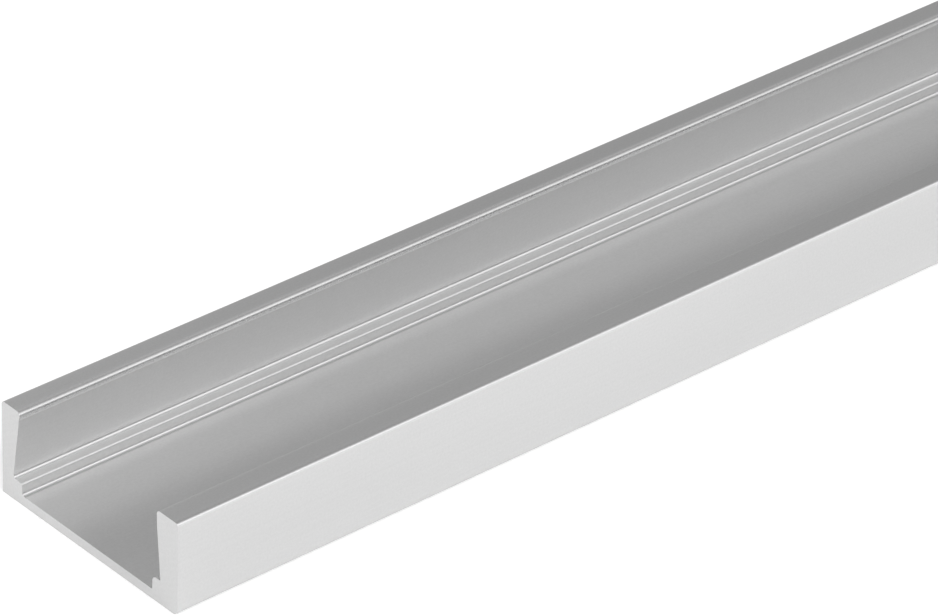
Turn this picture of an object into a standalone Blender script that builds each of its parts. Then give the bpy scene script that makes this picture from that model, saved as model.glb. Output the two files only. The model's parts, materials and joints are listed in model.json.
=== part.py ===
"""Aluminium LED profile: one length of extruded channel that carries an LED strip.

The section is a flat U. Each side wall has a lip at its top, leans back below the
lip so that a clip-in cover is held, and ends in a ledge beside the strip's seat.
The two walls have sizes of their own. Lengths are in metres, +Z is up, the stock
runs along X, the far wall is at +Y, and the origin is at the middle of the underside.
"""

import math

import bmesh
import bpy
from mathutils import Vector

# The stock as a whole
LENGTH = 1.0
WIDTH = 0.018
HEIGHT = 0.007
FLOOR_THICKNESS = 0.00074

# Far wall: widths run inwards from its outer face, and heights run up from the floor,
# apart from the lip and nose, which hang from the top
FAR_HEEL_RADIUS = 0.00006
FAR_TOP_RADIUS = 0.00025
FAR_LIP_WIDTH = 0.0019
FAR_LIP_HEIGHT = 0.00034
FAR_LIP_RADIUS = 0.00032
FAR_NOSE_RADIUS = 0.00006
FAR_NOSE_HEIGHT = 0.00023
FAR_NOSE_STEP = 0.0001
FAR_THROAT_HEIGHT = 0.00053
FAR_THROAT_DRAFT = 0.000045
FAR_UNDERCUT = 0.000625
FAR_BASE_RADIUS = 0.00028
FAR_LEDGE_WIDTH = 0.00205
FAR_LEDGE_HEIGHT = 0.00091
FAR_LEDGE_FALL = 0.00003
FAR_LEDGE_RADIUS = 0.00013
FAR_FOOT_DRAFT = 0.00002
FAR_FOOT_RADIUS = 0.00024

# Near wall: a thicker web, a flat ledge with a round edge, and a round heel
NEAR_HEEL_RADIUS = 0.00055
NEAR_TOP_RADIUS = 0.00025
NEAR_LIP_WIDTH = 0.0021
NEAR_LIP_RADIUS = 0.0003
NEAR_NOSE_HEIGHT = 0.0013
NEAR_NOSE_DRAFT = 0.00003
NEAR_UNDERCUT = 0.000325
NEAR_BASE_RADIUS = 0.00006
NEAR_LEDGE_WIDTH = 0.00254
NEAR_LEDGE_HEIGHT = 0.00105
NEAR_LEDGE_RADIUS = 0.00038
NEAR_FOOT_DRAFT = 0.00003
NEAR_FOOT_RADIUS = 0.00012

# Roundness: flats in a quarter turn, and the share of an edge that its two fillets may take
FLATS_PER_QUARTER = 8
FILLET_LIMIT_SHARE = 0.98
SMOOTH_ANGLE = math.radians(25)

# Satin anodised aluminium
ANODISED_COLOUR = (0.72, 0.72, 0.72, 1.0)
ANODISED_ROUGHNESS = 0.42
ANODISED_METALLIC = 1.0


def clear_scene():
    """Remove every object, so the profile stands alone."""
    for obj in list(bpy.data.objects):
        bpy.data.objects.remove(obj, do_unlink=True)


def far_wall():
    """Corners of the wall at +Y, from its heel over the top to the floor.

    Each corner is (inset from the outer face, height, fillet radius).
    """
    nose_top = HEIGHT - FAR_LIP_HEIGHT
    nose_foot = nose_top - FAR_NOSE_HEIGHT
    throat_width = FAR_LIP_WIDTH - FAR_NOSE_STEP
    lean_width = throat_width - FAR_THROAT_DRAFT
    ledge_top = FLOOR_THICKNESS + FAR_LEDGE_HEIGHT
    return [
        (0.0, 0.0, FAR_HEEL_RADIUS),
        (0.0, HEIGHT, FAR_TOP_RADIUS),
        (FAR_LIP_WIDTH, HEIGHT, FAR_LIP_RADIUS),
        (FAR_LIP_WIDTH, nose_top, FAR_NOSE_RADIUS),
        (throat_width, nose_foot, 0.0),
        (lean_width, nose_foot - FAR_THROAT_HEIGHT, 0.0),
        (lean_width - FAR_UNDERCUT, ledge_top, FAR_BASE_RADIUS),
        (FAR_LEDGE_WIDTH, ledge_top - FAR_LEDGE_FALL, FAR_LEDGE_RADIUS),
        (FAR_LEDGE_WIDTH + FAR_FOOT_DRAFT, FLOOR_THICKNESS, FAR_FOOT_RADIUS),
    ]


def near_wall():
    """Corners of the wall at -Y, in the same order and form as the far wall's."""
    nose_foot = HEIGHT - NEAR_NOSE_HEIGHT
    nose_width = NEAR_LIP_WIDTH - NEAR_NOSE_DRAFT
    ledge_top = FLOOR_THICKNESS + NEAR_LEDGE_HEIGHT
    return [
        (0.0, 0.0, NEAR_HEEL_RADIUS),
        (0.0, HEIGHT, NEAR_TOP_RADIUS),
        (NEAR_LIP_WIDTH, HEIGHT, NEAR_LIP_RADIUS),
        (nose_width, nose_foot, 0.0),
        (nose_width - NEAR_UNDERCUT, ledge_top, NEAR_BASE_RADIUS),
        (NEAR_LEDGE_WIDTH, ledge_top, NEAR_LEDGE_RADIUS),
        (NEAR_LEDGE_WIDTH + NEAR_FOOT_DRAFT, FLOOR_THICKNESS, NEAR_FOOT_RADIUS),
    ]


def half_angle(before, corner, after):
    """Half of the angle between a corner's two edges."""
    return (before - corner).angle(after - corner) / 2


def fillet(before, corner, after, reach):
    """Points of the arc that rounds one corner, touching both edges at the given reach."""
    if reach <= 0.0:
        return [corner]
    to_before = (before - corner).normalized()
    to_after = (after - corner).normalized()
    half = half_angle(before, corner, after)
    start = corner + to_before * reach
    end = corner + to_after * reach
    centre = corner + (to_before + to_after).normalized() * reach / math.cos(half)
    turn = (start - centre).angle_signed(end - centre)
    flats = max(2, round(FLATS_PER_QUARTER * abs(turn) / (math.pi / 2)))
    arm = start - centre
    points = []
    for step in range(flats + 1):
        angle = -turn * step / flats
        cosine = math.cos(angle)
        sine = math.sin(angle)
        points.append(centre + Vector((arm.x * cosine - arm.y * sine,
                                       arm.x * sine + arm.y * cosine)))
    return points


def fitting_reaches(corners, radii):
    """How far each fillet runs along its edges, cut back where two would meet."""
    reaches = []
    for index, after in enumerate(corners[1:] + corners[:1]):
        half = half_angle(corners[index - 1], corners[index], after)
        reaches.append(radii[index] / math.tan(half))
    crowding = []
    for index, corner in enumerate(corners):
        room = FILLET_LIMIT_SHARE * (corner - corners[index - 1]).length
        crowding.append((reaches[index - 1] + reaches[index]) / room)
    both_edges = zip(reaches, crowding, crowding[1:] + crowding[:1])
    return [reach / max(1, behind, ahead) for reach, behind, ahead in both_edges]


def section_outline():
    """The whole section as one closed ring of (y, z) points."""
    near = [(Vector((inset - WIDTH / 2, height)), radius) for inset, height, radius in near_wall()]
    far = [(Vector((WIDTH / 2 - inset, height)), radius) for inset, height, radius in far_wall()]
    rounded = near + far[::-1]
    corners = [corner for corner, radius in rounded]
    radii = [radius for corner, radius in rounded]
    reaches = fitting_reaches(corners, radii)
    outline = []
    for index, after in enumerate(corners[1:] + corners[:1]):
        outline.extend(fillet(corners[index - 1], corners[index], after, reaches[index]))
    return outline


def extruded_bar(name, outline, length):
    """A solid bar along X with the given (y, z) section, centred on its length."""
    shape = bmesh.new()
    ring = [shape.verts.new((-length / 2, point.x, point.y)) for point in outline]
    section = shape.faces.new(ring)
    pressed = bmesh.ops.extrude_face_region(shape, geom=[section], use_keep_orig=True)
    far_ring = [item for item in pressed["geom"] if isinstance(item, bmesh.types.BMVert)]
    bmesh.ops.translate(shape, verts=far_ring, vec=(length, 0.0, 0.0))
    bmesh.ops.recalc_face_normals(shape, faces=shape.faces[:])
    mesh = bpy.data.meshes.new(name)
    shape.to_mesh(mesh)
    shape.free()
    mesh.shade_smooth()
    mesh.set_sharp_from_angle(angle=SMOOTH_ANGLE)
    bar = bpy.data.objects.new(name, mesh)
    bpy.context.scene.collection.objects.link(bar)
    return bar


def anodised_aluminium():
    """Pale satin grey of clear anodised aluminium."""
    material = bpy.data.materials.new("anodised_aluminium")
    material.use_nodes = True
    shader = material.node_tree.nodes["Principled BSDF"]
    shader.inputs["Base Color"].default_value = ANODISED_COLOUR
    shader.inputs["Roughness"].default_value = ANODISED_ROUGHNESS
    shader.inputs["Metallic"].default_value = ANODISED_METALLIC
    return material


def main():
    clear_scene()
    profile = extruded_bar("led_profile", section_outline(), LENGTH)
    profile.data.materials.append(anodised_aluminium())


main()
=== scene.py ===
# %% [markdown]
# # A length of aluminium LED channel
#
# The real object is one piece: aluminium pressed hot through a die, sawn to length and
# anodised. It has no screws, joints or cover of its own. So the lesson is about one section,
# one sweep along a straight path, two finishes, and the light that makes satin metal readable.

# %% [markdown]
# ## The frame
#
# The measured solid comes in as a fixed frame. It could be dressed as it stands, but its mesh
# is loose triangles with flat shading. The lesson reads its sizes and its outline, leaves it
# alone, and builds the visible bar to the same lines.

# %% Load the frame
import json
import math

import bmesh
import bpy
from mathutils import Euler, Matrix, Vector


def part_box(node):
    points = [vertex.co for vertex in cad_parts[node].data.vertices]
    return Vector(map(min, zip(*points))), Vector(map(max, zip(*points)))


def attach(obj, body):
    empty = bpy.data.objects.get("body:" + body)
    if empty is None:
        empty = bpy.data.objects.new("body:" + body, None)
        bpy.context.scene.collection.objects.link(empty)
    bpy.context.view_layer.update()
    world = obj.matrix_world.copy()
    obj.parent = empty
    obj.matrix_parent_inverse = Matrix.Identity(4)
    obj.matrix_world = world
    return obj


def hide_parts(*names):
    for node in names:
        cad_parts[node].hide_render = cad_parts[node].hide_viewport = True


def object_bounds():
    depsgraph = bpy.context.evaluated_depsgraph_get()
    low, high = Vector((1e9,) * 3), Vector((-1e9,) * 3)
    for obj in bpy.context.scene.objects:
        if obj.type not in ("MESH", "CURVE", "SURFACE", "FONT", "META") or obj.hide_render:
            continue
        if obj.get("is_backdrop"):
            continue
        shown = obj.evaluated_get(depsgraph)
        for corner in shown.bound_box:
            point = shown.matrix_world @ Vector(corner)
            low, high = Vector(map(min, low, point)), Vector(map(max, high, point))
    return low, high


MM_PER_METRE = 1000

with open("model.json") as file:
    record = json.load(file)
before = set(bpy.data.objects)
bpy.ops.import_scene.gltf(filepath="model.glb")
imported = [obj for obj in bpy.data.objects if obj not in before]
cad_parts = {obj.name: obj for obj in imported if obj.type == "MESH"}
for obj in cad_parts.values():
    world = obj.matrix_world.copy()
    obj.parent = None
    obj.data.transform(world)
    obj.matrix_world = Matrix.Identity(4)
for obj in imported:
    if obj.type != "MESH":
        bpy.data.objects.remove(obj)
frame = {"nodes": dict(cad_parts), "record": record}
cad_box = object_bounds()
low, high = (Vector(corner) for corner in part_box("led_profile"))
print("profile, mm:", [round(side * MM_PER_METRE, 2) for side in high - low])

# %% [markdown]
# ## The camera
#
# A camera can be placed by eye, or worked out from the edges that run parallel on the stock.
# Their vanishing points give the lens and the turn, and the width of the cut end gives the
# distance. The second way was used, because a section this plain shows every error. The lens
# is long and stands well back, so the far end of the view is hardly smaller than the near end.

# %% Camera at the photograph's place
SENSOR_WIDTH_MM = 36.0
FOCAL_LENGTH_MM = 249.93
CAMERA_FROM_NEAR_END = Vector((-0.208624, -0.269810, 0.234864))
CAMERA_TURN_DEG = (57.62609, -1.43475, -40.77506)
NEAREST_CLIP = 0.01
FURTHEST_CLIP = 200.0

near_end = Vector((low.x, 0.0, low.z))
camera_data = bpy.data.cameras.new("camera")
camera_data.sensor_width = SENSOR_WIDTH_MM
camera_data.lens = FOCAL_LENGTH_MM
camera_data.clip_start = NEAREST_CLIP
camera_data.clip_end = FURTHEST_CLIP
camera = bpy.data.objects.new("camera", camera_data)
camera.location = near_end + CAMERA_FROM_NEAR_END
camera.rotation_euler = Euler([math.radians(turn) for turn in CAMERA_TURN_DEG])
bpy.context.scene.collection.objects.link(camera)
bpy.context.scene.camera = camera
print("camera stands", round(CAMERA_FROM_NEAR_END.length * MM_PER_METRE), "mm from the cut end")

# %% [markdown]
# ## The section
#
# On the real stock everything follows from the hole in the die: two walls with a rounded lip,
# a lean below the lip that holds a clip-in cover, a ledge beside the strip's seat, and a thin
# floor. The outline could be typed in again, but then it could drift from the measured solid.
# The rim of the solid's cut end is that outline already. A copy is merged, because the solid's
# triangles are loose, and its rim is walked from point to point.

# %% Read the section off the cut end
MERGE_DISTANCE = 1e-6
FACES_NEAR_END = -0.9


def rim_neighbours(shape):
    """For each point on the rim of the near cut end, the two points beside it."""
    cut = {face for face in shape.faces if face.normal.x < FACES_NEAR_END}
    beside = {}
    for edge in shape.edges:
        if sum(face in cut for face in edge.link_faces) == 1:
            first, second = edge.verts
            beside.setdefault(first, []).append(second)
            beside.setdefault(second, []).append(first)
    return beside


def cut_end_rim(node):
    """The rim of the near cut end as one ring of (y, z) places."""
    shape = bmesh.new()
    shape.from_mesh(node.data)
    bmesh.ops.remove_doubles(shape, verts=shape.verts[:], dist=MERGE_DISTANCE)
    beside = rim_neighbours(shape)
    start = min(beside, key=lambda vert: (vert.co.z, vert.co.y))
    ring = [start]
    before, here = start, min(beside[start], key=lambda vert: vert.co.z)
    while here is not start:
        ring.append(here)
        first, second = beside[here]
        before, here = here, (second if first is before else first)
    places = [Vector((vert.co.y, vert.co.z)) for vert in ring]
    shape.free()
    return places


section = cut_end_rim(frame["nodes"]["led_profile"])
print("the section has", len(section), "points")

# %% [markdown]
# ## Painted highlight and shade along the section
#
# Each point of the outline gets a value that raises or lowers the metal's colour, as a
# painted highlight and a painted shade. It lights the tightest roundings and the nose of each
# lip, and it shades the two corners of the channel's floor. Along the brow of the far lip it
# paints a pale line, with a shaded one below it. A mask painted by hand could do the same.
# Here -1 is painted shade, 0 leaves the colour as etched, and 1 is painted highlight; where the
# value is high the metal is also a touch smoother. The causes are guesses, and the values were
# set by comparing renders with the photograph. On the far lip they also stand in for a rounding
# that seems to sit a tenth of a millimetre lower on the real bar than on the measured solid.

# %% Work out the painted highlight and shade of the section
# Roundings get painted highlight by their radius in metres, from the tightest to the widest of
# their kind
TIGHTEST_RADIUS = 0.0001
WIDEST_STANDING_RADIUS = 0.00032
WIDEST_HOLLOW_RADIUS = 0.00034
TIGHTEST_PAINTED_HIGHLIGHT = 0.62

# A flat longer than a facet is no part of a rounding, and a turn of 0 would give no radius
LONGEST_FACET = 0.00012
SMALLEST_TURN = 0.001

# The lips begin this far in from the outer faces, and the deep corners, which get painted shade,
# lie at the seat's height
LIP_INSET = 0.0015
SAME_LEVEL = 0.00001
DEEP_CORNER_PAINTED_SHADE = -0.5

# Painted highlight and shade down each lip, as (depth below the top, value) from the brow to the
# foot of the nose
FAR_LIP_PAINTED_LIGHT = ((0.0, 0.4), (0.000006, 1.0), (0.000024, 0.6), (0.00005, -0.75),
                (0.0001, -0.75), (0.00014, 0.0), (0.0002, 1.0), (0.0006, 1.0))
NEAR_LIP_PAINTED_LIGHT = ((0.0, 0.0), (0.00018, 0.0), (0.0002, 1.0), (0.0006, 1.0))

seat_height = next(mount["pos_m"][2] for mount in frame["record"]["mounts"]
                   if mount["name"] == "strip_seat")


def read_off(table, depth):
    """The value at a depth, on the straight lines between a table's entries."""
    for (above, first), (below, last) in zip(table, table[1:]):
        if depth <= below:
            return first + (last - first) * max(0.0, depth - above) / (below - above)
    return 0.0


def tightness(before, place, after):
    """1 on the tightest roundings and 0 on the widest, and on flats."""
    behind, ahead = place - before, after - place
    if max(behind.length, ahead.length) > LONGEST_FACET:
        return 0.0
    turn = behind.angle_signed(ahead)
    widest = WIDEST_HOLLOW_RADIUS if turn > 0 else WIDEST_STANDING_RADIUS
    radius = behind.length / max(abs(turn), SMALLEST_TURN)
    return min(1.0, max(0.0, (widest - radius) / (widest - TIGHTEST_RADIUS)))


def painted_light_at(before, place, after):
    """The painted highlight and shade at one point of the section, by the rules above."""
    lip_painted_light = FAR_LIP_PAINTED_LIGHT if place.x > 0 else NEAR_LIP_PAINTED_LIGHT
    depth = high.z - place.y
    # Painted highlight and shade down the lips, painted shade in the deep corners, painted
    # highlight on tight roundings
    if abs(place.x) < high.y - LIP_INSET and depth < lip_painted_light[-1][0]:
        return read_off(lip_painted_light, depth)
    if abs(place.y - seat_height) < SAME_LEVEL:
        return DEEP_CORNER_PAINTED_SHADE
    return TIGHTEST_PAINTED_HIGHLIGHT * tightness(before, place, after)


# The painted highlight and shade of every point of the outline
painted_light = [painted_light_at(section[index - 1], place, section[(index + 1) % len(section)])
        for index, place in enumerate(section)]
print("wear runs from", round(min(painted_light), 2), "to", round(max(painted_light), 2))

# %% [markdown]
# ## The die
#
# The die is an edge ring with the painted highlight and shade on its points. On a long flat
# the value would fade from one edge to the other, all the way across. So each long flat gets
# two more points, a margin away from its ends, and the painted light stays beside the edge it
# belongs to. More loops along the whole flat would do it too, but they would add faces that
# change nothing.

# %% Cut the die
PAINTED_LIGHT_MARGIN = 0.00015
LONG_FLAT = 0.0004


def with_margins(places, values):
    """The ring and its values, with two more points of value 0 on each long flat."""
    ring = []
    for place, value, after in zip(places, values, places[1:] + places[:1]):
        ring.append((place, value))
        along = after - place
        if along.length > LONG_FLAT:
            step = along.normalized() * PAINTED_LIGHT_MARGIN
            ring += [(place + step, 0.0), (after - step, 0.0)]
    return ring


def die_outline(name, ring):
    """An edge ring with the section's y and z as its x and y, and its painted highlight and shade
    as an attribute.
    """
    count = len(ring)
    mesh = bpy.data.meshes.new(name)
    mesh.from_pydata([(place.x, place.y, 0.0) for place, value in ring],
                     [(index, (index + 1) % count) for index in range(count)], [])
    # The painted highlight and shade ride on the points as an attribute
    painted_layer = mesh.attributes.new("painted_light", "FLOAT", "POINT")
    painted_layer.data.foreach_set("value", [value for place, value in ring])
    outline = bpy.data.objects.new(name, mesh)
    bpy.context.scene.collection.objects.link(outline)
    return outline


die = die_outline("die", with_margins(section, painted_light))
print("the die has", len(die.data.vertices), "points")

# %% [markdown]
# ## The press
#
# The bar is the outline pushed along a straight path, as the press pushes it. It could be a
# bmesh extrusion. A Geometry Nodes tree is used because it reads like the process: an outline,
# a start, an end and a finish go in, and a bar comes out. Curve to Mesh does the sweep and
# fills both ends. The path's normal is set to +Y, so that the section's x stays the bar's y.
# The ends are found by their normals, and the finishes are given last.

# %% Nodes that press the bar
FACES_AN_END = 0.9


def tree_with_inputs(name, inputs):
    """An empty Geometry Nodes tree with the given inputs, and its two end nodes."""
    tree = bpy.data.node_groups.new(name, "GeometryNodeTree")
    for socket_name, socket_type in inputs:
        tree.interface.new_socket(socket_name, in_out="INPUT", socket_type=socket_type)
    tree.interface.new_socket("Bar", in_out="OUTPUT", socket_type="NodeSocketGeometry")
    return tree, tree.nodes.new("NodeGroupInput"), tree.nodes.new("NodeGroupOutput")


def straight_path(tree, given):
    """A line along X from Start to End, with its normal along +Y."""
    path = tree.nodes.new("GeometryNodeCurvePrimitiveLine")
    for name in ("Start", "End"):
        place = tree.nodes.new("ShaderNodeCombineXYZ")
        tree.links.new(given.outputs[name], place.inputs["X"])
        tree.links.new(place.outputs["Vector"], path.inputs[name])
    upright = tree.nodes.new("GeometryNodeSetCurveNormal")
    upright.mode = "FREE"
    upright.inputs["Normal"].default_value = (0.0, 1.0, 0.0)
    tree.links.new(path.outputs["Curve"], upright.inputs["Curve"])
    return upright.outputs["Curve"]


def faces_an_end(tree):
    """True on faces that look along the bar, either way."""
    normal = tree.nodes.new("GeometryNodeInputNormal")
    parts = tree.nodes.new("ShaderNodeSeparateXYZ")
    size = tree.nodes.new("ShaderNodeMath")
    size.operation = "ABSOLUTE"
    compare = tree.nodes.new("FunctionNodeCompare")
    compare.data_type = "FLOAT"
    compare.operation = "GREATER_THAN"
    compare.inputs["B"].default_value = FACES_AN_END
    tree.links.new(normal.outputs["Normal"], parts.inputs["Vector"])
    tree.links.new(parts.outputs["X"], size.inputs[0])
    tree.links.new(size.outputs[0], compare.inputs["A"])
    return compare.outputs["Result"]


def extrusion_tree():
    """A tree that sweeps an outline along X, fills both ends and gives the finishes."""
    tree, given, made = tree_with_inputs("extrude_bar", (
        ("Outline", "NodeSocketGeometry"), ("Start", "NodeSocketFloat"), ("End", "NodeSocketFloat"),
        ("Side finish", "NodeSocketMaterial"), ("End finish", "NodeSocketMaterial")))
    links = tree.links
    outline = tree.nodes.new("GeometryNodeMeshToCurve")
    links.new(given.outputs["Outline"], outline.inputs["Mesh"])
    sweep = tree.nodes.new("GeometryNodeCurveToMesh")
    sweep.inputs["Fill Caps"].default_value = True
    links.new(straight_path(tree, given), sweep.inputs["Curve"])
    links.new(outline.outputs["Curve"], sweep.inputs["Profile Curve"])
    realize = tree.nodes.new("GeometryNodeRealizeInstances")
    links.new(sweep.outputs["Mesh"], realize.inputs["Geometry"])
    sides = tree.nodes.new("GeometryNodeSetMaterial")
    links.new(realize.outputs["Geometry"], sides.inputs["Geometry"])
    links.new(given.outputs["Side finish"], sides.inputs["Material"])
    ends = tree.nodes.new("GeometryNodeSetMaterial")
    links.new(sides.outputs["Geometry"], ends.inputs["Geometry"])
    links.new(faces_an_end(tree), ends.inputs["Selection"])
    links.new(given.outputs["End finish"], ends.inputs["Material"])
    links.new(ends.outputs["Geometry"], made.inputs["Bar"])
    return tree


def set_input(modifier, name, value):
    """Set a named input of a tree by its socket's identifier."""
    for item in modifier.node_group.interface.items_tree:
        if item.item_type == "SOCKET" and item.in_out == "INPUT" and item.name == name:
            modifier[item.identifier] = value
            return
    raise KeyError(name)


press = extrusion_tree()
print("the press has", len(press.nodes), "nodes")

# %% [markdown]
# ## Patterns for the metal
#
# Both finishes are built from noise that is stretched to the marks a tool leaves. Pulled out
# along X it gives the lines that the die draws down the bar, and unstretched it gives the fine
# grain of the etch. All of it reads Object coordinates in metres, so a scale of 9000 means
# 9000 cells in a metre, or marks about a ninth of a millimetre wide.

# %% Helpers for the finishes
NOISE_LOW = 0.3
NOISE_HIGH = 0.7


def metal(name):
    """A new metal material, with its tree and its shader."""
    material = bpy.data.materials.new(name)
    material.use_nodes = True
    shader = material.node_tree.nodes["Principled BSDF"]
    shader.inputs["Metallic"].default_value = 1.0
    return material, material.node_tree, shader


def stretched_noise(tree, cells_per_metre, detail=2.0):
    """Noise with its own number of cells per metre along each axis."""
    coordinates = tree.nodes.new("ShaderNodeTexCoord")
    mapping = tree.nodes.new("ShaderNodeMapping")
    mapping.inputs["Scale"].default_value = cells_per_metre
    noise = tree.nodes.new("ShaderNodeTexNoise")
    noise.inputs["Scale"].default_value = 1.0
    noise.inputs["Detail"].default_value = detail
    tree.links.new(coordinates.outputs["Object"], mapping.inputs["Vector"])
    tree.links.new(mapping.outputs["Vector"], noise.inputs["Vector"])
    return noise.outputs["Fac"]


def spread(tree, value, lowest, highest):
    """Noise brought from its usual range to the given one."""
    ranged = tree.nodes.new("ShaderNodeMapRange")
    ranged.inputs["From Min"].default_value = NOISE_LOW
    ranged.inputs["From Max"].default_value = NOISE_HIGH
    ranged.inputs["To Min"].default_value = lowest
    ranged.inputs["To Max"].default_value = highest
    tree.links.new(value, ranged.inputs["Value"])
    return ranged.outputs["Result"]


def changed_by_painted_light(tree, value, change):
    """A value that a painted highlight of 1 raises by the given share of itself, and painted shade
    lowers.
    """
    painted_light_here = tree.nodes.new("ShaderNodeAttribute")
    painted_light_here.attribute_name = "painted_light"
    factor = tree.nodes.new("ShaderNodeMath")
    factor.operation = "MULTIPLY_ADD"
    factor.inputs[1].default_value = change
    factor.inputs[2].default_value = 1.0
    product = tree.nodes.new("ShaderNodeMath")
    product.operation = "MULTIPLY"
    tree.links.new(painted_light_here.outputs["Fac"], factor.inputs[0])
    tree.links.new(value, product.inputs[0])
    tree.links.new(factor.outputs[0], product.inputs[1])
    return product.outputs[0]


def blend(tree, amount, first, second):
    """A mix of two numbers by an amount from 0 to 1, each a socket or a plain value."""
    mix = tree.nodes.new("ShaderNodeMix")
    mix.data_type = "FLOAT"
    for socket, value in (("Factor", amount), ("A", first), ("B", second)):
        if isinstance(value, float):
            mix.inputs[socket].default_value = value
        else:
            tree.links.new(value, mix.inputs[socket])
    return mix.outputs["Result"]


def grey(tree, value):
    """A neutral colour with the given brightness."""
    colour = tree.nodes.new("ShaderNodeCombineColor")
    for channel in ("Red", "Green", "Blue"):
        tree.links.new(value, colour.inputs[channel])
    return colour.outputs["Color"]


def relief(tree, shader, height, depth):
    """Bump of the given depth in metres, and the normal that it gives the shader."""
    bump = tree.nodes.new("ShaderNodeBump")
    bump.inputs["Distance"].default_value = depth
    tree.links.new(height, bump.inputs["Height"])
    tree.links.new(bump.outputs["Normal"], shader.inputs["Normal"])


# %% [markdown]
# ## The anodised sides
#
# The stock is etched and then anodised clear, which turns bright aluminium into an even, pale
# satin. Under it the die's drawn lines can still be felt, and the film is a shade lighter or
# darker over some centimetres. A brushed metal with anisotropy was the other choice, but its
# highlights streak across the bar, and the photograph's stay soft and even. So the roughness
# is plain and high, and the lines only ruffle it. Where the mask paints highlight, the colour
# is brighter and a touch smoother, and where it paints shade, darker and a touch rougher.

# %% Satin anodised finish
DRAWN_LINES = (7.0, 9000.0, 9000.0)
ETCH_GRAIN = (6000.0, 6000.0, 6000.0)
FILM_CLOUDS = (25.0, 160.0, 160.0)
SIDE_DARKEST = 0.615
SIDE_LIGHTEST = 0.685
SIDE_SMOOTHEST = 0.32
SIDE_ROUGHEST = 0.38
# Painted highlight raises the colour by this share and painted shade lowers it; the same mask
# changes the roughness
PAINTED_LIGHT_BRIGHTENS = 0.44
PAINTED_LIGHT_SMOOTHS = -0.2
LINE_SHARE = 0.3
CLOUD_SHARE = 0.3
DRAWN_LINE_DEPTH = 0.0000004


def satin_anodised():
    """Pale satin sides, with drawn lines, etch grain, slow clouds in the film, and painted
    highlight and shade.
    """
    material, tree, shader = metal("satin_anodised")
    lines = stretched_noise(tree, DRAWN_LINES)
    grain = stretched_noise(tree, ETCH_GRAIN)
    clouds = stretched_noise(tree, FILM_CLOUDS)
    pattern = blend(tree, LINE_SHARE, grain, lines)
    pattern = blend(tree, CLOUD_SHARE, pattern, clouds)
    brightness = spread(tree, pattern, SIDE_DARKEST, SIDE_LIGHTEST)
    # Painted highlight and shade from the mask on the section's points
    brightness = changed_by_painted_light(tree, brightness, PAINTED_LIGHT_BRIGHTENS)
    roughness = spread(tree, pattern, SIDE_SMOOTHEST, SIDE_ROUGHEST)
    roughness = changed_by_painted_light(tree, roughness, PAINTED_LIGHT_SMOOTHS)
    tree.links.new(grey(tree, brightness), shader.inputs["Base Color"])
    tree.links.new(roughness, shader.inputs["Roughness"])
    relief(tree, shader, lines, DRAWN_LINE_DEPTH)
    return material


# %% [markdown]
# ## The sawn ends
#
# A saw with a large blade cuts the stock, so its marks are arcs of a very large circle, close
# together and shallow. A straight stripe would nearly pass, but the arcs are what the eye
# knows. A ring wave with its centre moved well below the bar gives them. The cut face is bare
# metal under the same film, a little rougher than the drawn sides.

# %% Sawn finish
BLADE_CENTRE = (0.0, 0.06, 0.11)
SAW_MARKS_PER_METRE = 700.0
SAW_WANDER = 2.5
END_DARKEST = 0.6
END_LIGHTEST = 0.65
END_SMOOTHEST = 0.42
END_ROUGHEST = 0.5
ARC_SHARE = 0.1
SAW_MARK_DEPTH = 0.0000002


def saw_arcs(tree):
    """Arcs of a large circle around an axis along X, as a blade leaves them."""
    coordinates = tree.nodes.new("ShaderNodeTexCoord")
    mapping = tree.nodes.new("ShaderNodeMapping")
    mapping.inputs["Location"].default_value = BLADE_CENTRE
    wave = tree.nodes.new("ShaderNodeTexWave")
    wave.wave_type = "RINGS"
    wave.rings_direction = "X"
    wave.inputs["Scale"].default_value = SAW_MARKS_PER_METRE
    wave.inputs["Distortion"].default_value = SAW_WANDER
    tree.links.new(coordinates.outputs["Object"], mapping.inputs["Vector"])
    tree.links.new(mapping.outputs["Vector"], wave.inputs["Vector"])
    return wave.outputs["Fac"]


def sawn_end():
    """The face that the saw leaves: fine arcs over the grain of the film."""
    material, tree, shader = metal("sawn_aluminium")
    arcs = saw_arcs(tree)
    grain = stretched_noise(tree, ETCH_GRAIN)
    pattern = blend(tree, ARC_SHARE, grain, arcs)
    brightness = spread(tree, pattern, END_DARKEST, END_LIGHTEST)
    tree.links.new(grey(tree, brightness), shader.inputs["Base Color"])
    tree.links.new(spread(tree, pattern, END_SMOOTHEST, END_ROUGHEST), shader.inputs["Roughness"])
    relief(tree, shader, arcs, SAW_MARK_DEPTH)
    return material


side_finish = satin_anodised()
end_finish = sawn_end()
print("finishes:", side_finish.name, "and", end_finish.name)

# %% [markdown]
# ## The bar
#
# The tree is set on the outline, its inputs are given by their sockets' identifiers, and the
# result is taken as a plain mesh, so the tree isn't needed any more. Smooth shading alone would
# bend the light on the wide flats beside each small rounding. Weighted normals let the large
# faces win, so the flats stay flat and only the roundings turn.

# %% Press the bar
SHARP_ANGLE = math.radians(25)
FLATS_WIN = 100

pressing = die.modifiers.new("extrude_bar", "NODES")
pressing.node_group = press
for input_name, given_value in (("Start", low.x), ("End", high.x),
                                ("Side finish", side_finish), ("End finish", end_finish)):
    set_input(pressing, input_name, given_value)
depsgraph = bpy.context.evaluated_depsgraph_get()
pressed = bpy.data.meshes.new_from_object(die.evaluated_get(depsgraph))
die.modifiers.remove(pressing)
bpy.data.objects.remove(die, do_unlink=True)

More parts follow.
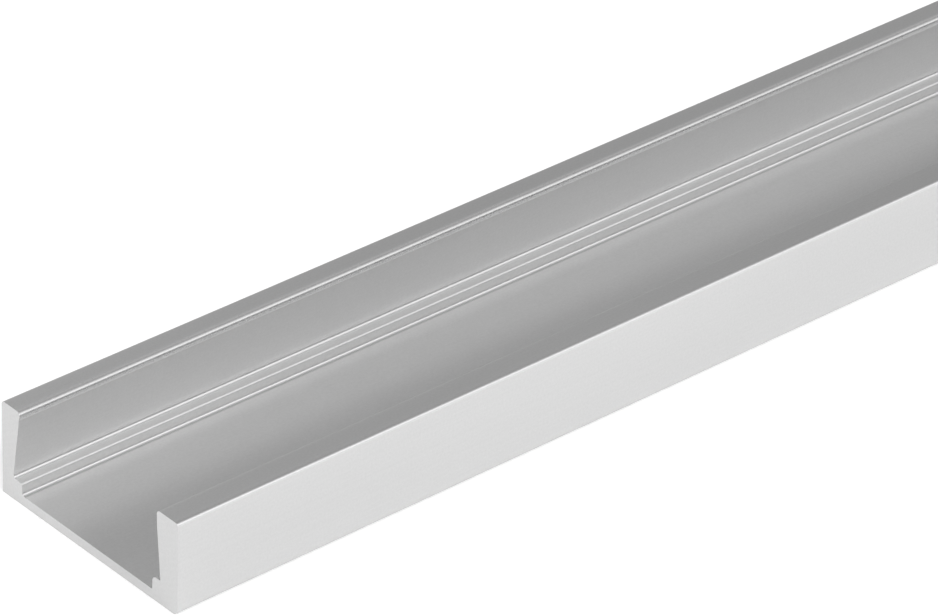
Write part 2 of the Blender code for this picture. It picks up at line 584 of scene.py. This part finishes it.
pressed.shade_smooth()
pressed.set_sharp_from_angle(angle=SHARP_ANGLE)
bar = bpy.data.objects.new("extruded_bar", pressed)
bpy.context.scene.collection.objects.link(bar)
even = bar.modifiers.new("flats_stay_flat", "WEIGHTED_NORMAL")
even.weight = FLATS_WIN
even.keep_sharp = True
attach(bar, "root")
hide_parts("led_profile")
print("the bar has", len(pressed.polygons), "faces and these attributes:",
      [attribute.name for attribute in pressed.attributes if not attribute.name.startswith(".")])

# %% [markdown]
# ## The floor
#
# The photograph stands on plain white with no horizon. A curved backdrop is the usual way, but
# the camera looks down steeply enough to see only the floor. One wide sheet of matt paper
# does, and the bar mirrors it on its near side and its cut end. The sheet also glows a little,
# as paper does on a lit table. Nothing says that the real one did. It brings the bar's contact
# shadow close to the thin one in the photograph, and brighter lamps would burn out the metal.

# %% White paper floor
FLOOR_HALF = 60.0
PAPER_WHITE = 0.92
PAPER_ROUGHNESS = 1.0
PAPER_GLOW = 0.25

floor_mesh = bpy.data.meshes.new("paper_floor")
floor_corners = [(x * FLOOR_HALF, y * FLOOR_HALF, 0.0)
                 for x, y in ((-1, -1), (1, -1), (1, 1), (-1, 1))]
floor_mesh.from_pydata(floor_corners, [], [(0, 1, 2, 3)])
floor = bpy.data.objects.new("paper_floor", floor_mesh)
bpy.context.scene.collection.objects.link(floor)
paper = bpy.data.materials.new("white_paper")
paper.use_nodes = True
paper_shader = paper.node_tree.nodes["Principled BSDF"]
paper_shader.inputs["Base Color"].default_value = (PAPER_WHITE, PAPER_WHITE, PAPER_WHITE, 1.0)
paper_shader.inputs["Roughness"].default_value = PAPER_ROUGHNESS
paper_shader.inputs["Specular IOR Level"].default_value = 0.0
paper_shader.inputs["Emission Color"].default_value = (1.0, 1.0, 1.0, 1.0)
paper_shader.inputs["Emission Strength"].default_value = PAPER_GLOW
floor_mesh.materials.append(paper)
floor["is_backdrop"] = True
print("paper floor,", 2 * FLOOR_HALF, "m square")

# %% [markdown]
# ## The light
#
# Satin metal shows the room more than itself, so the lights are chosen by what each face
# mirrors. The tops and the channel's floor mirror the back right, where only the grey room is,
# with one box beside it. The roundings mirror the front right, where three boxes, one above
# the other, draw the bright lines along the lip, the ledge and the near edge. A strong box
# above the front and a wide one on the left light the paper, which the near side and the cut
# end mirror. The strengths could be tried by hand. Here each box was rendered alone, the mix
# that comes closest to the photograph's greys was worked out from those renders, and a few
# strengths were then changed, the high box's the most.

# %% Soft boxes
LIGHT_DISTANCE = 2.5

# name: azimuth from +X towards +Y and elevation, in degrees, then the angles that the box
# fills as seen from the bar, and its radiance
SOFT_BOXES = {
    "right_box": (-52.0, 24.0, 44.0, 16.0, 1.07),
    "low_right_box": (-55.0, 8.0, 44.0, 16.0, 0.42),
    "high_right_box": (-45.0, 42.0, 50.0, 18.0, 0.73),
    "back_box": (85.0, 28.0, 40.0, 34.0, 1.22),
    "left_box": (140.0, 40.0, 90.0, 40.0, 0.95),
    "front_box": (-97.0, 46.0, 45.0, 34.0, 3.05),
}
ROOM_GREY = 0.4


def soft_box(name, azimuth, elevation, wide, tall, radiance):
    """A soft light that looks at the near end of the bar."""
    turn, lift = math.radians(azimuth), math.radians(elevation)
    direction = Vector((math.cos(lift) * math.cos(turn),
                        math.cos(lift) * math.sin(turn), math.sin(lift)))
    light = bpy.data.lights.new(name, "AREA")
    light.shape = "RECTANGLE"
    light.size = 2 * LIGHT_DISTANCE * math.tan(math.radians(wide / 2))
    light.size_y = 2 * LIGHT_DISTANCE * math.tan(math.radians(tall / 2))
    light.energy = radiance * math.pi * light.size * light.size_y
    box = bpy.data.objects.new(name, light)
    box.location = near_end + direction * LIGHT_DISTANCE
    box.rotation_euler = (-direction).to_track_quat("-Z", "Y").to_euler()
    bpy.context.scene.collection.objects.link(box)
    return box


for box_name, (azimuth, elevation, wide, tall, radiance) in SOFT_BOXES.items():
    soft_box(box_name, azimuth, elevation, wide, tall, radiance)
print("soft boxes:", ", ".join(SOFT_BOXES))

# %% The room behind the boxes
room = bpy.data.worlds.new("room")
room.use_nodes = True
background = room.node_tree.nodes["Background"]
background.inputs["Color"].default_value = (ROOM_GREY, ROOM_GREY, ROOM_GREY, 1.0)
bpy.context.scene.world = room
bpy.context.scene.view_settings.view_transform = "Standard"
print("the room's grey is", ROOM_GREY)

# %% [markdown]
# ## The sizes
#
# The last step prints the box of the measured solid and the box of the dressed model. They
# should agree, because the visible bar is swept from the solid's own outline.

# %% Sizes and finish
visual_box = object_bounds()
for label, corners in (("solid", cad_box), ("dressed", visual_box)):
    print(label, "box, mm:", [[round(value * MM_PER_METRE, 3) for value in corner]
                              for corner in corners])
